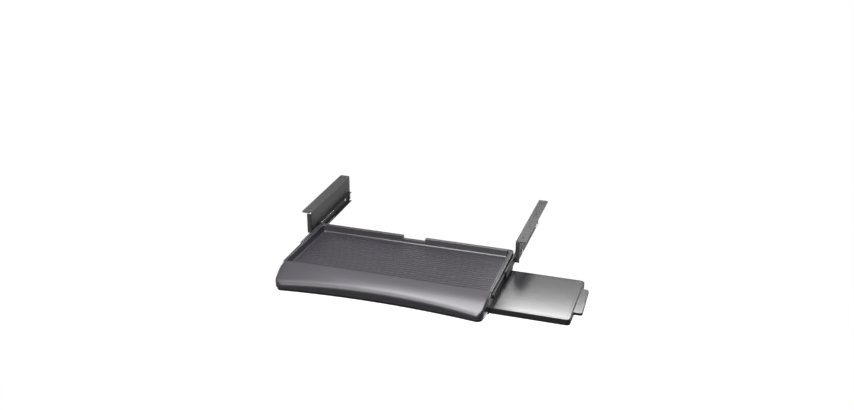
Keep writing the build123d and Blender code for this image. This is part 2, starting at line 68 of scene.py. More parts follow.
camera_data = bpy.data.cameras.new("camera")
camera_data.lens = 42.99
camera_data.sensor_width = 36.0
camera_data.clip_end = 50.0
camera = bpy.data.objects.new("camera", camera_data)
bpy.context.scene.collection.objects.link(camera)
camera.location = (0.7521, -2.3478, 1.0784)
to_the_left, tipped_down, rolled = math.radians(17.731), math.radians(23.554), math.radians(0.2)
camera.rotation_euler = (Matrix.Rotation(to_the_left, 3, "Z")
                         @ Matrix.Rotation(math.pi / 2 - tipped_down, 3, "X")
                         @ Matrix.Rotation(rolled, 3, "Z")).to_euler()
bpy.context.scene.camera = camera


# Brackets: 2 mm sheet steel, punched, bent and powder-coated black, and screwed up by their flanges. The
# coat rounds every sheared edge a little, so each bracket is the CAD form with its edges broken.

bracket_edge_mm = 0.35
sharp_angle = math.radians(35)


def pick(piece):
    """Selects one object alone and makes it the active one."""
    if bpy.context.object and bpy.context.object.mode != "OBJECT":
        bpy.ops.object.mode_set(mode="OBJECT")
    bpy.ops.object.select_all(action="DESELECT")
    piece.select_set(True)
    bpy.context.view_layer.objects.active = piece


def apply_modifier(piece, kind, **settings):
    """Adds a modifier with its settings and applies it."""
    pick(piece)
    modifier = piece.modifiers.new(kind.lower(), kind)
    for name, value in settings.items():
        setattr(modifier, name, value)
    bpy.ops.object.modifier_apply(modifier=modifier.name)


def copied(node):
    """A merged copy of a CAD node, as one closed surface that takes the node's place."""
    piece = bpy.data.objects.new(f"{node}_formed", nodes[node].data.copy())
    bpy.context.scene.collection.objects.link(piece)
    piece.data.materials.clear()
    pick(piece)
    bpy.ops.mesh.customdata_custom_splitnormals_clear()
    bpy.ops.object.mode_set(mode="EDIT")
    bpy.ops.mesh.select_all(action="SELECT")
    bpy.ops.mesh.remove_doubles(threshold=1e-6)
    bpy.ops.mesh.tris_convert_to_quads(face_threshold=math.radians(0.5), shape_threshold=math.pi)
    bpy.ops.object.mode_set(mode="OBJECT")
    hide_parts(node)
    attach(piece, nodes[node]["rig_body"])
    return piece


def finished(piece, smooth_below=38):
    """Shades a piece smooth across its rounded edges and flat on its flat faces."""
    pick(piece)
    bpy.ops.object.shade_smooth_by_angle(angle=math.radians(smooth_below))
    apply_modifier(piece, "WEIGHTED_NORMAL", keep_sharp=True, weight=80)
    return piece


def formed(node, edge_mm, segments=2, smooth_below=38):
    """A CAD piece with all its sharp edges broken alike."""
    piece = copied(node)
    if edge_mm:
        apply_modifier(piece, "BEVEL", width=edge_mm / 1000, segments=segments, limit_method="ANGLE",
                       angle_limit=sharp_angle, use_clamp_overlap=True, miter_outer="MITER_ARC")
    return finished(piece, smooth_below)


def linear(hex_colour):
    """An sRGB hex colour as the linear values that a shader takes."""
    def channel(text):
        value = int(text, 16) / 255
        return value / 12.92 if value <= 0.04045 else ((value + 0.055) / 1.055) ** 2.4
    return (*(channel(hex_colour[i:i + 2]) for i in (1, 3, 5)), 1.0)


def add(tree, kind, values):
    """Adds a shader node; a value is one of its settings, a socket's constant or the socket that feeds it."""
    node = tree.nodes.new(kind)
    for name, value in values.items():
        if isinstance(value, bpy.types.NodeSocket):
            tree.links.new(value, node.inputs[name])
        elif isinstance(name, str) and hasattr(node, name):
            setattr(node, name, value)
        else:
            node.inputs[name].default_value = value
    return node


def feed(tree, shader, sources):
    """Links each named socket of a shader to what feeds it."""
    for name, source in sources.items():
        tree.links.new(source, shader.inputs[name])


def new_material(name, surface):
    """A material whose constant values are on its shader's own sockets, and its object coordinates."""
    material = bpy.data.materials.new(name)
    material.use_nodes = True
    tree = material.node_tree
    shader = tree.nodes["Principled BSDF"]
    for socket, value in surface.items():
        shader.inputs[socket].default_value = value
    place = add(tree, "ShaderNodeTexCoord", {}).outputs["Object"]
    return material, tree, shader, place


def rubbed_edges(tree, width_mm):
    """One along the sharp edges, where hands and cloths rub, and nothing on the faces between them."""
    rounded = add(tree, "ShaderNodeBevel", {"samples": 6, "Radius": width_mm / 1000})
    true = add(tree, "ShaderNodeNewGeometry", {})
    agree = add(tree, "ShaderNodeVectorMath", {"operation": "DOT_PRODUCT", 0: rounded.outputs["Normal"],
                                               1: true.outputs["Normal"]})
    return add(tree, "ShaderNodeMapRange", {"From Min": 0.995, "From Max": 0.93,
                                            "Value": agree.outputs["Value"]}).outputs["Result"]


def dress(material, slot, *pieces):
    """Gives pieces a material. The slot argument is not used."""
    for piece in pieces:
        piece.data.materials.clear()
        piece.data.materials.append(material)


# The sockets of a mix: its share, its two numbers or colours, and the number or colour that comes out
mix_share, number_a, number_b, colour_a, colour_b = 0, 2, 3, 6, 7
mixed_number, mixed_colour = 0, 2

# Powder coat: baked polyester powder. Its orange peel, about 2 mm across, breaks the satin sheen up softly,
# the black is slightly uneven, and it has rubbed to grey along the edges.
peel_mm, peel_depth_mm, cloud_mm, rub_mm = 2.2, 0.04, 45, 0.7
powder_coat, tree, shader, place = new_material("satin_black_powder_coat",
                                                {"IOR": 1.5, "Specular IOR Level": 0.22})
peel = add(tree, "ShaderNodeTexNoise", {"Scale": 1000 / peel_mm, "Detail": 1.5, "Vector": place})
clouds = add(tree, "ShaderNodeTexNoise", {"Scale": 1000 / cloud_mm, "Detail": 2.0, "Vector": place})
tint = add(tree, "ShaderNodeMix", {"data_type": "RGBA", mix_share: clouds.outputs["Fac"],
                                   colour_a: linear("#111112"), colour_b: linear("#171718")})
rub = add(tree, "ShaderNodeMix", {"data_type": "RGBA", mix_share: rubbed_edges(tree, rub_mm),
                                  colour_a: tint.outputs[mixed_colour], colour_b: linear("#3a3a3b")})
gloss = add(tree, "ShaderNodeMapRange", {"To Min": 0.5, "To Max": 0.6, "Value": peel.outputs["Fac"]})
bump = add(tree, "ShaderNodeBump", {"Strength": 0.4, "Distance": peel_depth_mm / 1000,
                                    "Height": peel.outputs["Fac"]})
feed(tree, shader, {"Base Color": rub.outputs[mixed_colour], "Roughness": gloss.outputs["Result"],
                    "Normal": bump.outputs["Normal"]})

sides = ("left", "right")
for side in sides:
    dress(powder_coat, "black_painted_steel", formed(f"{side}_bracket", bracket_edge_mm))


# Slides: three nested channels a side, roll-formed from 1.2 mm strip and electro-coated black. The outer
# one is screwed to the bracket and the inner one to the tray, and balls run in the grooves between them.

slide_edge_mm = 0.18
slide_z = sum(corner.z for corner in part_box("right_drawer_member")) / 2

# Electro-coat: a thin smooth dip coat. The strip's drawing lines show through it along the slide, drawn
# coarser than the real ones, and in the grooves the balls have burnished it down to the steel in places.
line_mm, line_depth_mm, drawn_out = 0.9, 0.02, 0.04
electro_coat, tree, shader, place = new_material("black_electrocoated_strip",
                                                 {"IOR": 1.5, "Specular IOR Level": 0.1})
rolled_place = add(tree, "ShaderNodeMapping", {"Scale": (1.0, drawn_out, 1.0), "Vector": place})
draw_lines = add(tree, "ShaderNodeTexNoise", {"Scale": 1000 / line_mm, "Detail": 3.0,
                                              "Vector": rolled_place.outputs["Vector"]}).outputs["Fac"]
tint = add(tree, "ShaderNodeMix", {"data_type": "RGBA", mix_share: draw_lines,
                                   colour_a: linear("#0d0d0e"), colour_b: linear("#151516")})
gloss = add(tree, "ShaderNodeMapRange", {"To Min": 0.42, "To Max": 0.56, "Value": draw_lines})
bump = add(tree, "ShaderNodeBump", {"Strength": 0.4, "Distance": line_depth_mm / 1000,
                                    "Height": draw_lines})

# Ball tracks: each row's place from the middle of the drawer and from the slide's axis, and its ball radius
ball_rows_mm = ((266.5, 10.65, 1.8), (265.9, 6.45, 1.5))
track_full_mm, track_fades_mm = 0.12, 0.3
axes = add(tree, "ShaderNodeSeparateXYZ", {0: place})
outward = add(tree, "ShaderNodeMath", {"operation": "ABSOLUTE", 0: axes.outputs["X"]})
from_axis = add(tree, "ShaderNodeMath", {"operation": "SUBTRACT", 0: axes.outputs["Z"], 1: slide_z})
apart = add(tree, "ShaderNodeMath", {"operation": "ABSOLUTE", 0: from_axis.outputs[0]})
section_place = add(tree, "ShaderNodeCombineXYZ", {"X": outward.outputs[0], "Z": apart.outputs[0]})
tracks = []
for row_x, row_z, ball_radius in ball_rows_mm:
    away = add(tree, "ShaderNodeVectorMath", {"operation": "DISTANCE", 0: section_place.outputs["Vector"],
                                              1: (row_x / 1000, 0, row_z / 1000)})
    tracks.append(add(tree, "ShaderNodeMapRange", {"From Min": (ball_radius + track_fades_mm) / 1000,
                                                   "From Max": (ball_radius + track_full_mm) / 1000,
                                                   "Value": away.outputs["Value"]}).outputs["Result"])
track = add(tree, "ShaderNodeMath", {"operation": "MAXIMUM", 0: tracks[0], 1: tracks[1]})
burnish = add(tree, "ShaderNodeMapRange", {"From Min": 0.3, "From Max": 0.62, "To Min": 0.08, "To Max": 0.4,
                                           "Value": draw_lines})
worn = add(tree, "ShaderNodeMath", {"operation": "MULTIPLY", 0: track.outputs[0],
                                    1: burnish.outputs["Result"]}).outputs[0]
bright = add(tree, "ShaderNodeMix", {"data_type": "RGBA", mix_share: worn,
                                     colour_a: tint.outputs[mixed_colour], colour_b: linear("#5e5e60")})
smoother = add(tree, "ShaderNodeMix", {"data_type": "FLOAT", mix_share: worn,
                                       number_a: gloss.outputs["Result"], number_b: 0.24})
feed(tree, shader, {"Metallic": worn, "Base Color": bright.outputs[mixed_colour],
                    "Roughness": smoother.outputs[mixed_number], "Normal": bump.outputs["Normal"]})

for side in sides:
    for member in ("cabinet_member", "intermediate_member", "drawer_member"):
        dress(electro_coat, "black_slide_steel", formed(f"{side}_{member}", slide_edge_mm))


# Ball cages: thin zinc-plated strip, folded to a channel and pierced for the balls, which it keeps apart.
# Nothing else holds a cage, so it rolls along at the mean speed of the two members beside it.

cage_edge_mm = 0.1


def mottled(name, surface, patch_mm, detail, colours, roughness, breakup=0.5):
    """A material whose colour and gloss wander together, in patches of a real size."""
    material, tree, shader, place = new_material(name, surface)
    patches = add(tree, "ShaderNodeTexNoise", {"Scale": 1000 / patch_mm, "Detail": detail,
                                               "Roughness": breakup, "Vector": place}).outputs["Fac"]
    tint = add(tree, "ShaderNodeMix", {"data_type": "RGBA", mix_share: patches,
                                       colour_a: linear(colours[0]), colour_b: linear(colours[1])})
    gloss = add(tree, "ShaderNodeMapRange", {"To Min": roughness[0], "To Max": roughness[1],
                                             "Value": patches})
    feed(tree, shader, {"Base Color": tint.outputs[mixed_colour], "Roughness": gloss.outputs["Result"]})
    return material


# Zinc plate: bright and slightly blue, and clouded by its passivation in patches a few millimetres across
zinc_plate = mottled("bright_zinc_plate", {"Metallic": 1.0}, patch_mm=3.5, detail=4.0, breakup=0.6,
                     colours=("#b6bac0", "#cdd0d3"), roughness=(0.24, 0.42))

rows = ("outer", "inner")
for side in sides:
    for row in rows:
        dress(zinc_plate, "zinc_cage_steel", formed(f"{side}_{row}_cage", cage_edge_mm, segments=1))


# Bearing balls: hardened chrome steel, ground and lapped to a mirror, and lightly greased. A cage holds
# two rows of them, one above and one below the slide's axis, and both rows are one piece.

# Ball steel: a neutral mirror, dulled in spots about 1.5 mm across by a film of grease
ball_steel = mottled("lapped_ball_steel", {"Metallic": 1.0}, patch_mm=1.5, detail=2.0,
                     colours=("#c4c4c2", "#dcdcdc"), roughness=(0.06, 0.2))

for side in sides:
    for row in rows:
        dress(ball_steel, "ball_steel", formed(f"{side}_{row}_balls", edge_mm=0, smooth_below=60))


# Rear bumpers: a block of black rubber, moulded with a peg that is pressed into the rear end of each
# cabinet member. The members inside it stop against the block when the drawer is pushed home.

bumper_edge_mm = 0.4

# Rubber: matt, and greyed in patches about 4 mm across by the bloom that comes out of it
rubber = mottled("matt_black_rubber", {"IOR": 1.52}, patch_mm=4, detail=4.0,
                 colours=("#141414", "#1f1f1e"), roughness=(0.7, 0.85))

for side in sides:
    dress(rubber, "black_rubber", formed(f"{side}_rear_bumper", bumper_edge_mm, segments=3))


# Tray body: one injection moulding in warm charcoal grey ABS, with a ribbed floor in a deep recess. It is
# screwed to the slides' inner members, and its rim is rounded more than the ribs are.

rim_edge_mm, rib_edge_mm = 0.9, 0.3
rim_top, rim_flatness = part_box("tray_body")[1].z * 1000, 0.05
below_rim, recess_foot, recess_half_width = 0.3, -62, 258
faces_up, faces_down = 0.9, -0.1


def moulded_abs(name, colour, lighter, edge_colour, roughness, gloss_level, grain_mm=1.1,
                grain_depth_mm=0.05):
    """Moulded ABS: eroded grain in the bump and the gloss, flow clouds in the colour, rubbed edges."""
    cloud_mm, rub_mm, gloss_range = 60, 0.9, 0.06
    material, tree, shader, place = new_material(name, {"IOR": 1.53, "Specular IOR Level": gloss_level})
    clouds = add(tree, "ShaderNodeTexNoise", {"Scale": 1000 / cloud_mm, "Detail": 3.0, "Vector": place})
    grain = add(tree, "ShaderNodeTexNoise", {"Scale": 1000 / grain_mm, "Detail": 2.0, "Vector": place})
    rubbed = rubbed_edges(tree, rub_mm)
    tint = add(tree, "ShaderNodeMix", {"data_type": "RGBA", mix_share: clouds.outputs["Fac"],
                                       colour_a: linear(colour), colour_b: linear(lighter)})
    rub = add(tree, "ShaderNodeMix", {"data_type": "RGBA", mix_share: rubbed,
                                      colour_a: tint.outputs[mixed_colour], colour_b: linear(edge_colour)})
    gloss = add(tree, "ShaderNodeMapRange", {"To Min": roughness - gloss_range,
                                             "To Max": roughness + gloss_range,
                                             "Value": grain.outputs["Fac"]})
    polish = add(tree, "ShaderNodeMapRange", {"To Min": 1.0, "To Max": 0.8, "Value": rubbed})
    finish = add(tree, "ShaderNodeMath", {"operation": "MULTIPLY", 0: gloss.outputs["Result"],
                                          1: polish.outputs["Result"]})
    bump = add(tree, "ShaderNodeBump", {"Strength": 0.5, "Distance": grain_depth_mm / 1000,
                                        "Height": grain.outputs["Fac"]})
    feed(tree, shader, {"Base Color": rub.outputs[mixed_colour], "Roughness": finish.outputs[0],
                        "Normal": bump.outputs["Normal"]})
    return material


# Charcoal ABS: the mould is spark-eroded, and its fine even grain spreads the gloss into a soft sheen.
# The real grain is a few tenths of a millimetre across, too fine to show, so it is drawn at 1.1 mm.
charcoal_abs = moulded_abs("charcoal_eroded_abs", colour="#2c292f", lighter="#323036",
                           edge_colour="#45424a", roughness=0.32, gloss_level=0.17)


def soften(piece, radius_mm, segments, where):
    """Rounds the sharp edges whose middle, in millimetres, and two face normals meet a test."""
    pick(piece)
    bpy.ops.object.mode_set(mode="EDIT")
    bpy.ops.mesh.select_mode(type="EDGE")
    bpy.ops.mesh.select_all(action="DESELECT")
    form = bmesh.from_edit_mesh(piece.data)
    for edge in form.edges:
        if len(edge.link_faces) == 2 and edge.calc_face_angle() > sharp_angle:
            middle = (edge.verts[0].co + edge.verts[1].co) / 2 * 1000
            edge.select_set(where(middle, edge.link_faces[0].normal, edge.link_faces[1].normal))
    bmesh.update_edit_mesh(piece.data)
    bpy.ops.mesh.bevel(offset=radius_mm / 1000, segments=segments, affect="EDGES", clamp_overlap=True,
                       miter_outer="ARC")
    bpy.ops.object.mode_set(mode="OBJECT")


def on_rim(at, one, other):
    """True for the edges of the rim's flat top."""
    return at.z > rim_top - rim_flatness and max(one.z, other.z) > faces_up


def in_recess(at, one, other):
    """True for the upper edges of the ribs and steps inside the recess."""
    return (recess_foot < at.z < rim_top - below_rim and abs(at.x) < recess_half_width
            and max(one.z, other.z) > faces_up and min(one.z, other.z) > faces_down)


tray_body = copied("tray_body")
soften(tray_body, rim_edge_mm, segments=4, where=on_rim)
soften(tray_body, rib_edge_mm, segments=2, where=in_recess)
dress(charcoal_abs, "tray_plastic", finished(tray_body))


# Palm rest: one more moulding of the same ABS, screwed to the tray from below. Its ramp rolls over a full
# round nose in front and a tighter edge at each cheek, and its skin is drawn as one smooth surface.

recess_front_y, cheek_y, palm_foot_z, floor_z = -327.0, -348.0, -85.0, -61.0
half_tray, front_half, front_middle_y, front_end_y = 262.5, 258.0, -379.0, -396.3
ramp_points = ((-327.0, -44.0), (-363.0, -53.8), (-399.0, -75.0))
nose_radius, cheek_radius, corner_radius, foot_radius = 18.0, 6.0, 17.0, 1.0
palm_wall, palm_smooth_below = 3.0, 40
front_steps, corner_steps, cheek_steps, side_steps, roll_steps, tilt_rounds = 30, 12, 8, 4, 12, 8
wall_shares = (0.35, 0.7)
cut_half_width, cut_step_across, cut_step_rear, cut_step_front = 248, 16, 5, 6


def circle_through(first, second, third):
    """Centre and radius of the circle through three points."""
    (ax, ay), (bx, by), (cx, cy) = first, second, third
    d = 2 * (ax * (by - cy) + bx * (cy - ay) + cx * (ay - by))
    a2, b2, c2 = ax * ax + ay * ay, bx * bx + by * by, cx * cx + cy * cy
    x = (a2 * (by - cy) + b2 * (cy - ay) + c2 * (ay - by)) / d
    y = (a2 * (cx - bx) + b2 * (ax - cx) + c2 * (bx - ax)) / d
    return Vector((x, y)), math.hypot(ax - x, ay - y)


ramp_centre, ramp_radius = circle_through(*ramp_points)
front_left, front_middle, front_right = ((-front_half, front_end_y), (0, front_middle_y),
                                         (front_half, front_end_y))
hollow_centre, hollow_radius = circle_through(front_left, front_middle, front_right)


def ramp(y):
    """Height and slope of the ramp at a place along its depth."""
    rise = math.sqrt(ramp_radius ** 2 - (y - ramp_centre.x) ** 2)
    return ramp_centre.y + rise, (ramp_centre.x - y) / rise


def palm_edge():
    """The palm rest's plan edge from its middle to the right, as (point, inward normal, edge radius)."""
    cheek = Vector((half_tray, cheek_y))
    along = (Vector(front_right) - cheek).normalized()
    inward = Vector((along.y, -along.x))
    start = cheek + inward * corner_radius - hollow_centre
    reach = start.dot(along)
    to_corner = reach + math.sqrt(reach ** 2 - start.length_squared + (hollow_radius + corner_radius) ** 2)
    corner_centre = hollow_centre + start - along * to_corner
    to_front = (hollow_centre - corner_centre).normalized()
    front_end_x = (corner_centre + to_front * corner_radius).x
    edge = []
    for i in range(front_steps):
        x = front_end_x * i / front_steps
        place = Vector((x, hollow_centre.y + math.sqrt(hollow_radius ** 2 - x * x)))
        edge.append((place, (place - hollow_centre).normalized(), nose_radius))
    turn = to_front.angle(-inward)
    for i in range(corner_steps + 1):
        share = i / corner_steps
        outward = Vector(to_front)
        outward.rotate(Matrix.Rotation(turn * share, 2))
        blend = share * share * (3 - 2 * share)
        edge_radius = nose_radius + (cheek_radius - nose_radius) * blend
        edge.append((corner_centre + outward * corner_radius, -outward, edge_radius))
    corner_end = edge[-1][0]
    for i in range(1, cheek_steps + 1):
        edge.append((corner_end.lerp(cheek, i / cheek_steps), inward, cheek_radius))
    for i in range(1, side_steps + 1):
        y = cheek_y + (recess_front_y - cheek_y) * i / side_steps
        edge.append((Vector((half_tray, y)), Vector((-1, 0)), cheek_radius))
    return edge


def skin_column(place, inward, radius):
    """The skin's points from the foot up over the rounded edge, at one place of the plan edge."""
    tilt = 0.0
    for _ in range(tilt_rounds):
        rolled_over_y = place.y + inward.y * radius * (1 - math.sin(tilt))
        height, slope = ramp(min(rolled_over_y, recess_front_y))
        tilt = math.atan(slope * inward.y)
    centre_z = height - radius * math.cos(tilt)
    points = [(foot_radius * (1 - math.sin(a)), palm_foot_z + foot_radius * (1 - math.cos(a)))
              for a in (0, math.pi / 4, math.pi / 2)]
    points += [(0.0, palm_foot_z + (centre_z - palm_foot_z) * share) for share in wall_shares]
    for i in range(roll_steps + 1):
        a = (math.pi / 2 - tilt) * i / roll_steps
        points.append((radius * (1 - math.cos(a)), centre_z + radius * math.sin(a)))
    return [(place.x + inward.x * d, place.y + inward.y * d, z) for d, z in points]


# The rounded edge goes round the front and both sides, and one face closes the top; until the end, their
# material numbers tell them apart. Cuts divide the top, so that it can follow the ramp, and the sides
# behind the cheeks are cut off level with the tray's floor.
rolled_edge, top = 1, 0
right_half = [skin_column(*spot) for spot in palm_edge()]
left_half = [[(-x, y, z) for x, y, z in column] for column in reversed(right_half[1:])]
form = bmesh.new()
grid = [[form.verts.new(Vector(point) / 1000) for point in column] for column in left_half + right_half]
for one, other in zip(grid, grid[1:]):
    for k in range(len(one) - 1):
        form.faces.new((one[k], other[k], other[k + 1], one[k + 1])).material_index = rolled_edge
form.faces.new([column[-1] for column in grid])
palm_mesh = bpy.data.meshes.new("palm_rest_skin")
form.to_mesh(palm_mesh)
form.free()
palm_rest = bpy.data.objects.new("palm_rest_skin", palm_mesh)
bpy.context.scene.collection.objects.link(palm_rest)
pick(palm_rest)
bpy.ops.object.mode_set(mode="EDIT")
cuts = [((x, 0, 0), (1, 0, 0)) for x in range(-cut_half_width, cut_half_width + 1, cut_step_across)]
cuts += [((0, recess_front_y - cut_step_rear * k, 0), (0, 1, 0)) for k in (1, 2, 3)]
cuts += [((0, cheek_y - cut_step_front * k, 0), (0, 1, 0)) for k in range(7)]
cuts += [((0, 0, floor_z), (0, 0, 1))]
for cut, across in cuts:
    bpy.ops.mesh.select_all(action="SELECT")
    bpy.ops.mesh.bisect(plane_co=[c / 1000 for c in cut], plane_no=across)
form = bmesh.from_edit_mesh(palm_mesh)
for vertex in form.verts:
    if all(face.material_index == top for face in vertex.link_faces):
        vertex.co.z = ramp(vertex.co.y * 1000)[0] / 1000
behind = [face for face in form.faces if face.calc_center_median().y > cheek_y / 1000
          and face.calc_center_median().z < floor_z / 1000]
bmesh.ops.delete(form, geom=behind, context="FACES")
for face in form.faces:
    face.material_index = top
bmesh.update_edit_mesh(palm_mesh)
bpy.ops.mesh.select_all(action="SELECT")
bpy.ops.mesh.normals_make_consistent(inside=False)
bpy.ops.object.mode_set(mode="OBJECT")
apply_modifier(palm_rest, "SOLIDIFY", thickness=palm_wall / 1000, offset=-1.0, use_even_offset=True)
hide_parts("palm_rest")
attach(palm_rest, "tray")
pick(palm_rest)
bpy.ops.object.shade_smooth_by_angle(angle=math.radians(palm_smooth_below))
dress(charcoal_abs, "tray_plastic", palm_rest)


# Bottom cover: a shallow pan, injection-moulded in black ABS, that closes the tray from below and carries
# the mouse platform. Ten screws in its cups hold it up against the tray's bosses.

cover_edge_mm = 0.5

# Black ABS: the same eroded grain, but so dark and dull that little besides its rubbed edges catches light
black_abs = moulded_abs("black_eroded_abs", colour="#0c0c0c", lighter="#121212",
                        edge_colour="#222223", roughness=0.55, gloss_level=0.09)
dress(black_abs, "black_plastic", formed("bottom_cover", cover_edge_mm))


# Mouse platform: a black ABS moulding, ribbed below, that slides out of the bottom cover to the right.
# A satin grey sheet is bonded on top of it, and a pad of the same sheet on its finger tab.

platform_edge_mm, sheet_edge_mm, pad_edge_mm = 0.6, 0.3, 0.5
dress(black_abs, "black_plastic", formed("mouse_platform_base", platform_edge_mm))

# Satin sheet: an almost smooth skin with a wide soft sheen. Its grain is drawn at 0.7 mm, coarser than
# the real one.
satin_sheet = moulded_abs("grey_satin_sheet", colour="#29282b", lighter="#2e2d30",
                          edge_colour="#3c3b3e", roughness=0.2, gloss_level=0.5,
                          grain_mm=0.7, grain_depth_mm=0.01)
dress(satin_sheet, "mousing_plastic", formed("mousing_surface", sheet_edge_mm),
      formed("platform_tab_pad", pad_edge_mm))


# Screws: cold-headed steel with a cross recess, and a chamfered tip. One of each kind is modelled, head up,
# and copied to its places: zinc-plated on the slides, and black, in the slides' own coat, below the tray.

recess_width_share, recess_length_share, recess_depth_share = 0.26, 1.15, 0.62
punch_taper = (0.6, 0.45)
tip_length_share, tip_radius_share, head_round_share = 0.3, 0.7, 0.5
turn_per_screw = 0.7


def cutting_block(width, length, height, sink):
    """A block whose lower half tapers, as the cross recess's punch does, sunk into the plane z = 0."""
    bpy.ops.object.select_all(action="DESELECT")
    bpy.ops.mesh.primitive_cube_add(size=1.0)
    block = bpy.context.object
    block.data.transform(Matrix.Translation((0, 0, height / 2 - sink))
                         @ Matrix.Diagonal((width, length, height, 1)))
    bpy.ops.object.mode_set(mode="EDIT")
    bpy.ops.mesh.select_mode(type="FACE")
    bpy.ops.mesh.select_all(action="DESELECT")
    form = bmesh.from_edit_mesh(block.data)
    for face in form.faces:
        face.select_set(face.normal.z < -faces_up)
    bmesh.update_edit_mesh(block.data)
    bpy.ops.transform.resize(value=(*punch_taper, 1.0))
    bpy.ops.object.mode_set(mode="OBJECT")
    return block


def carve(piece, tool, operation="DIFFERENCE"):
    """Cuts a piece with a tool, or keeps what they share, and takes the tool away."""
    apply_modifier(piece, "BOOLEAN", operation=operation, object=tool, solver="EXACT")
    bpy.data.objects.remove(tool, do_unlink=True)


def turned_screw(head_radius, head_height, shank_radius, length, countersunk=False):
    """One screw, in millimetres: the head's bearing face at z = 0 and the shank down from it."""
    bpy.ops.object.select_all(action="DESELECT")
    bpy.ops.mesh.primitive_cylinder_add(vertices=40, radius=head_radius, depth=head_height,
                                        location=(0, 0, head_height / 2))
    screw = bpy.context.object
    screw.data.transform(screw.matrix_world)
    screw.matrix_world = Matrix.Identity(4)
    bpy.ops.object.mode_set(mode="EDIT")
    bpy.ops.mesh.select_mode(type="FACE")

    def choose(facing):
        """Selects the faces that look up, for 1, or down, for -1."""
        bpy.ops.mesh.select_all(action="DESELECT")
        form = bmesh.from_edit_mesh(screw.data)
        for face in form.faces:
            face.select_set(face.normal.z * facing > faces_up)
        bmesh.update_edit_mesh(screw.data)

    choose(-1)
    if countersunk:
        share = shank_radius / head_radius
        bpy.ops.transform.resize(value=(share, share, 1.0))
    else:
        bpy.ops.mesh.inset(thickness=head_radius - shank_radius)
    tip_length = shank_radius * tip_length_share
    bpy.ops.mesh.extrude_region_move(TRANSFORM_OT_translate={"value": (0, 0, -length + tip_length)})
    bpy.ops.mesh.extrude_region_move(TRANSFORM_OT_translate={"value": (0, 0, -tip_length)})
    bpy.ops.transform.resize(value=(tip_radius_share, tip_radius_share, 1.0))
    if not countersunk:
        choose(1)
        bpy.ops.mesh.region_to_loop()
        bpy.ops.mesh.bevel(offset=head_height * head_round_share, segments=5, affect="EDGES")
    bpy.ops.object.mode_set(mode="OBJECT")
    for turn in (0, math.pi / 2):
        punch = cutting_block(head_radius * recess_width_share, head_radius * recess_length_share,
                              head_height, head_height * recess_depth_share)
        punch.data.transform(Matrix.Rotation(turn, 4, "Z"))
        punch.data.transform(Matrix.Translation((0, 0, head_height)))
        carve(screw, punch)
    return screw


def set_in(node, pattern, places, body_axis):
    """Copies a pattern in millimetres to its places, head towards an axis, as one piece in a node's place."""
    facing = Vector(body_axis).to_track_quat("Z", "Y").to_matrix().to_4x4()
    copies = []
    for place in places:
        copy = bpy.data.objects.new(f"{node}_formed", pattern.data.copy())
        bpy.context.scene.collection.objects.link(copy)
        copy.data.transform(Matrix.Scale(0.001, 4) @ Matrix.Translation(place) @ facing
                            @ Matrix.Rotation(turn_per_screw * len(copies), 4, "Z"))
        copies.append(copy)
    pick(copies[0])
    for copy in copies:
        copy.select_set(True)
    bpy.ops.object.join()
    piece = bpy.context.object
    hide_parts(node)
    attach(piece, nodes[node]["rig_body"])
    bpy.ops.object.shade_smooth_by_angle(angle=sharp_angle)
    return piece


drawer_screw = turned_screw(head_radius=3.2, head_height=1.9, shank_radius=2.0, length=7.7)
slide_screw = turned_screw(head_radius=3.2, head_height=1.2, shank_radius=2.0, length=6.2, countersunk=True)
cover_screw = turned_screw(head_radius=3.5, head_height=2.2, shank_radius=1.75, length=12.0)
palm_screw = turned_screw(head_radius=3.5, head_height=2.2, shank_radius=1.75, length=8.0)


# Nuts: pressed steel hexagons, zinc-plated, 7 mm across their flats, with the usual chamfer on both faces.
# Each is run up a slide screw against the outer side of the bracket.

across_flats, nut_thickness, nut_bore_radius, bore_length = 7.0, 3.2, 2.05, 8.0
chamfer_radius, nut_chamfer = 4.0, 0.45
bpy.ops.object.select_all(action="DESELECT")
bpy.ops.mesh.primitive_cylinder_add(vertices=6, radius=across_flats / 2 / math.cos(math.pi / 6),
                                    depth=nut_thickness)
hexagon_nut = bpy.context.object
hexagon_nut.data.transform(Matrix.Translation((0, 0, nut_thickness / 2)))
bpy.ops.mesh.primitive_cylinder_add(vertices=48, radius=chamfer_radius, depth=nut_thickness)
chamfer_disc = bpy.context.object
chamfer_disc.data.transform(Matrix.Translation((0, 0, nut_thickness / 2)))
apply_modifier(chamfer_disc, "BEVEL", width=nut_chamfer, segments=1, limit_method="ANGLE",
               angle_limit=math.radians(60))
carve(hexagon_nut, chamfer_disc, "INTERSECT")
bpy.ops.mesh.primitive_cylinder_add(vertices=32, radius=nut_bore_radius, depth=bore_length)
carve(hexagon_nut, bpy.context.object)


# Places: drawer screws in the inner members, slide screws and nuts through member and bracket, cover
# screws in three rows up into the tray's bosses, and four palm rest screws from below.

member_seat_x, web_face_x, strip_thickness, nut_face_x = 263.7, 271.3, 1.2, 274.5
drawer_screw_ys, slide_screw_ys = (-309.0, -210.5, -112.0), (-68.0, 97.0)
cover_seat_z, palm_seat_z = -88.9, -63.5
cover_rows = ((-115, (-235, -117.5, 0, 117.5, 235)), (-239, (-235, -117.5)), (-363, (-160, 0, 160)))
palm_row = (-354, (-240, -80, 80, 240))
slide_level = slide_z * 1000
for side, way in (("left", -1), ("right", 1)):
    drawer_places = [(way * member_seat_x, y, slide_level) for y in drawer_screw_ys]
    web_places = [(way * (web_face_x + strip_thickness), y, slide_level) for y in slide_screw_ys]
    nut_places = [(way * nut_face_x, y, slide_level) for y in slide_screw_ys]
    dress(zinc_plate, "zinc_screw_steel",
          set_in(f"{side}_drawer_screws", drawer_screw, drawer_places, (way, 0, 0)),
          set_in(f"{side}_slide_screws", slide_screw, web_places, (-way, 0, 0)),
          set_in(f"{side}_slide_nuts", hexagon_nut, nut_places, (way, 0, 0)))
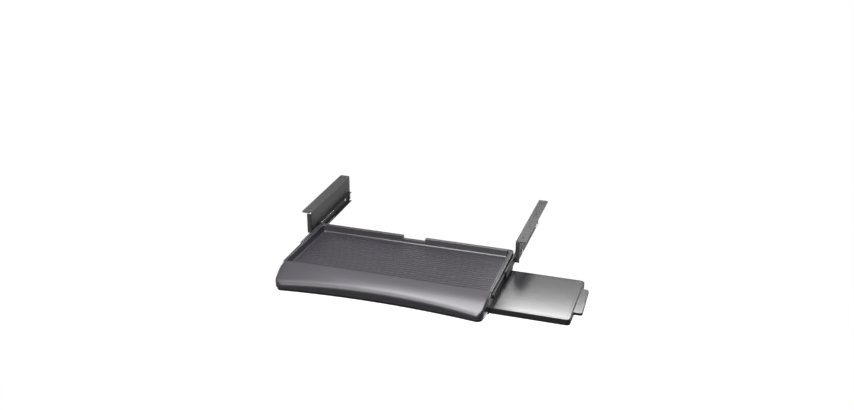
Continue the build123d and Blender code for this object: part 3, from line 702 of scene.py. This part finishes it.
cover_places = [(x, y, cover_seat_z) for y, xs in cover_rows for x in xs]
palm_places = [(x, palm_row[0], palm_seat_z) for x in palm_row[1]]
dress(electro_coat, "black_screw_steel", set_in("cover_screws", cover_screw, cover_places, (0, 0, -1)),
      set_in("palm_rest_screws", palm_screw, palm_places, (0, 0, -1)))
for pattern in (drawer_screw, slide_screw, cover_screw, palm_screw, hexagon_nut):
    bpy.data.objects.remove(pattern, do_unlink=True)


# Room: a plain white floor well below the drawer, a white surrounding and soft studio light. The camera
# and the reflections see both as white, the floor takes the object's shadow out to where it blends into
# pure white, and it is clear from below, so that the underside can be looked at.

floor_drop, floor_size = 0.72, 60.0
shadow_to, white_from = 0.9, 1.5
white = (1, 1, 1, 1)


def seen_directly(tree):
    """One for a camera, mirror or see-through ray, and nothing for the light that surfaces pass on."""
    path = add(tree, "ShaderNodeLightPath", {})
    first = add(tree, "ShaderNodeMath", {"operation": "MAXIMUM", 0: path.outputs["Is Camera Ray"],
                                         1: path.outputs["Is Glossy Ray"]})
    return add(tree, "ShaderNodeMath", {"operation": "MAXIMUM", 0: first.outputs[0],
                                        1: path.outputs["Is Transmission Ray"]}).outputs[0]


bpy.ops.object.select_all(action="DESELECT")
bpy.ops.mesh.primitive_plane_add(size=floor_size)
floor = bpy.context.object
floor.name = "studio_floor"
floor.data.transform(Matrix.Translation((0, 0, -floor_drop)))
white_floor, tree, shader, place = new_material("white_floor",
                                                {"Roughness": 0.9, "Base Color": linear("#cccccc")})
glow_near = add(tree, "ShaderNodeEmission", {"Color": white, "Strength": 0.74})
glow_far = add(tree, "ShaderNodeEmission", {"Color": white, "Strength": 1.0})
near = add(tree, "ShaderNodeAddShader", {0: glow_near.outputs[0], 1: shader.outputs[0]})
away = add(tree, "ShaderNodeVectorMath", {"operation": "LENGTH", 0: place})
spread = add(tree, "ShaderNodeMapRange", {"interpolation_type": "SMOOTHSTEP", "From Min": shadow_to,
                                          "From Max": white_from, "Value": away.outputs["Value"]})
seen = add(tree, "ShaderNodeMixShader", {0: spread.outputs["Result"], 1: near.outputs[0],
                                         2: glow_far.outputs[0]})
bounce = add(tree, "ShaderNodeBsdfDiffuse", {"Color": linear("#585858")})
from_above = add(tree, "ShaderNodeMixShader", {0: seen_directly(tree), 1: bounce.outputs[0],
                                               2: seen.outputs[0]})
from_below = add(tree, "ShaderNodeNewGeometry", {}).outputs["Backfacing"]
clear = add(tree, "ShaderNodeBsdfTransparent", {})
one_way = add(tree, "ShaderNodeMixShader", {0: from_below, 1: from_above.outputs[0], 2: clear.outputs[0]})
feed(tree, tree.nodes["Material Output"], {"Surface": one_way.outputs[0]})
floor.data.materials.append(white_floor)

world = bpy.data.worlds.new("studio")
bpy.context.scene.world = world
world.use_nodes = True
tree = world.node_tree
backdrop = tree.nodes["Background"]
backdrop.inputs["Color"].default_value = white
level = add(tree, "ShaderNodeMapRange", {"To Min": 0.12, "To Max": 1.0, "Value": seen_directly(tree)})
feed(tree, backdrop, {"Strength": level.outputs["Result"]})


def soft_lamp(name, place, target, width, height, power, gloss_only=False):
    """A large oblong lamp aimed at a point, unseen by the camera; a gloss card shows in the sheen alone."""
    lamp_data = bpy.data.lights.new(name, "AREA")
    lamp_data.shape = "RECTANGLE"
    lamp_data.size = width
    lamp_data.size_y = height
    lamp_data.energy = power
    lamp = bpy.data.objects.new(name, lamp_data)
    bpy.context.scene.collection.objects.link(lamp)
    lamp.location = place
    lamp.rotation_euler = (Vector(target) - Vector(place)).to_track_quat("-Z", "Y").to_euler()
    lamp.visible_camera = False
    lamp.visible_diffuse = not gloss_only


# Each lamp's place, what it is aimed at, its width, its height and its power. The one overhead carries the
# light, the cards put the sheen on the mouldings, and the last three reach the rear, left and underside.
soft_lamp("overhead", (-0.05, -0.8, 1.1), (-0.05, -0.45, -0.06), 0.9, 1.1, 25.0)
soft_lamp("overhead_card", (0.0, -1.12, 1.09), (0.0, -1.12, -0.06), 0.9, 2.14, 178.0, gloss_only=True)
soft_lamp("corner_card", (-0.95, -1.0, 1.0), (-0.4, -0.7, 0.0), 0.45, 1.5, 16.0, gloss_only=True)
soft_lamp("front_card", (-0.25, -2.6, 0.9), (-0.25, -0.4, 0.4), 0.9, 0.8, 125.0, gloss_only=True)
soft_lamp("ramp_card", (-0.35, 0.4, 1.09), (-0.35, 0.2, -0.06), 0.9, 0.9, 7.5, gloss_only=True)
soft_lamp("low_card", (0.36, 0.34, 0.44), (0.36, -0.3, 0.44), 0.44, 0.24, 6.2, gloss_only=True)
soft_lamp("right_card", (0.62, 0.34, 0.06), (0.3, -0.3, -0.04), 0.36, 0.26, 4.5, gloss_only=True)
soft_lamp("left_card", (-0.8, 0.34, 0.02), (-0.26, -0.3, -0.04), 0.36, 0.26, 3.0, gloss_only=True)
soft_lamp("rear_lamp", (0.1, 1.5, 0.12), (0.1, -0.2, -0.06), 1.7, 0.45, 14.0)
soft_lamp("left_lamp", (-1.6, 0.1, 0.1), (-0.2, -0.2, -0.06), 1.0, 0.45, 7.0)
soft_lamp("under_lamp", (0.05, 0.15, -0.66), (0.05, -0.2, -0.06), 0.9, 0.5, 7.0)

bpy.context.scene.view_settings.view_transform = "Standard"
